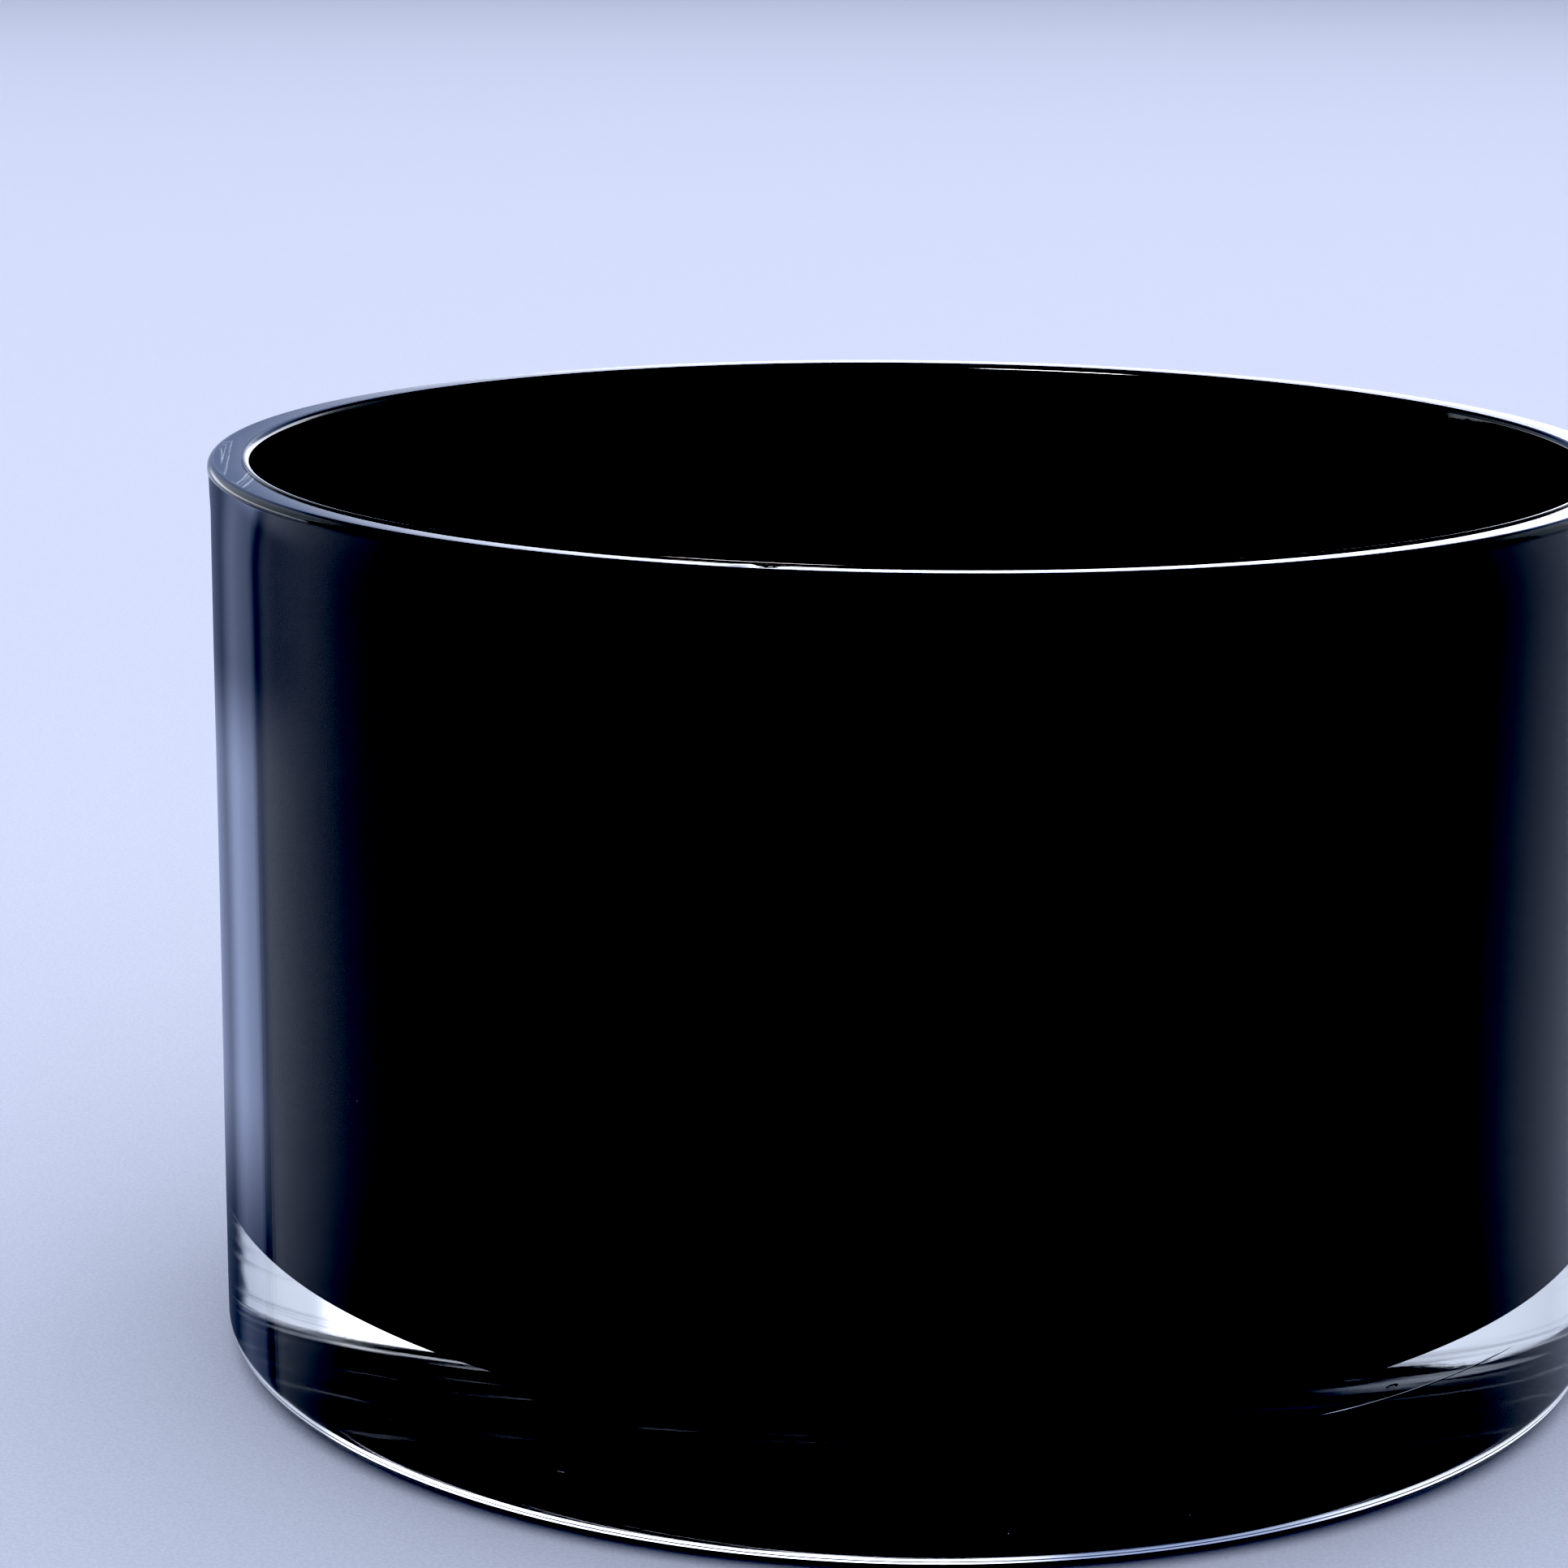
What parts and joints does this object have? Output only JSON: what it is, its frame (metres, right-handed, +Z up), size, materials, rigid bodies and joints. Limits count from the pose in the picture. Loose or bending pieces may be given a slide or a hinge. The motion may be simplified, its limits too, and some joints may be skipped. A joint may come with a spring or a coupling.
{
  "type": "candle jar",
  "caption": "Wide, low candle jar of clear pressed glass with a heavy base and rounded rim, lacquered gloss black inside, open at the top and free-standing.",
  "frame": {"origin": "centre of the ring that the jar stands on, on the table's surface", "axes": "+Z up out of the mouth along the jar's axis; the jar is round, so +X and +Y are any two directions across it"},
  "size_m": [0.12, 0.12, 0.077],
  "materials": {
    "clear_glass": "clear soda-lime glass, fire-polished gloss",
    "black_lacquer": "sprayed and baked gloss black lacquer"
  },
  "bodies": {
    "root": {"glass_jar": "clear_glass", "inner_lacquer": "black_lacquer"}
  },
  "joints": []
}
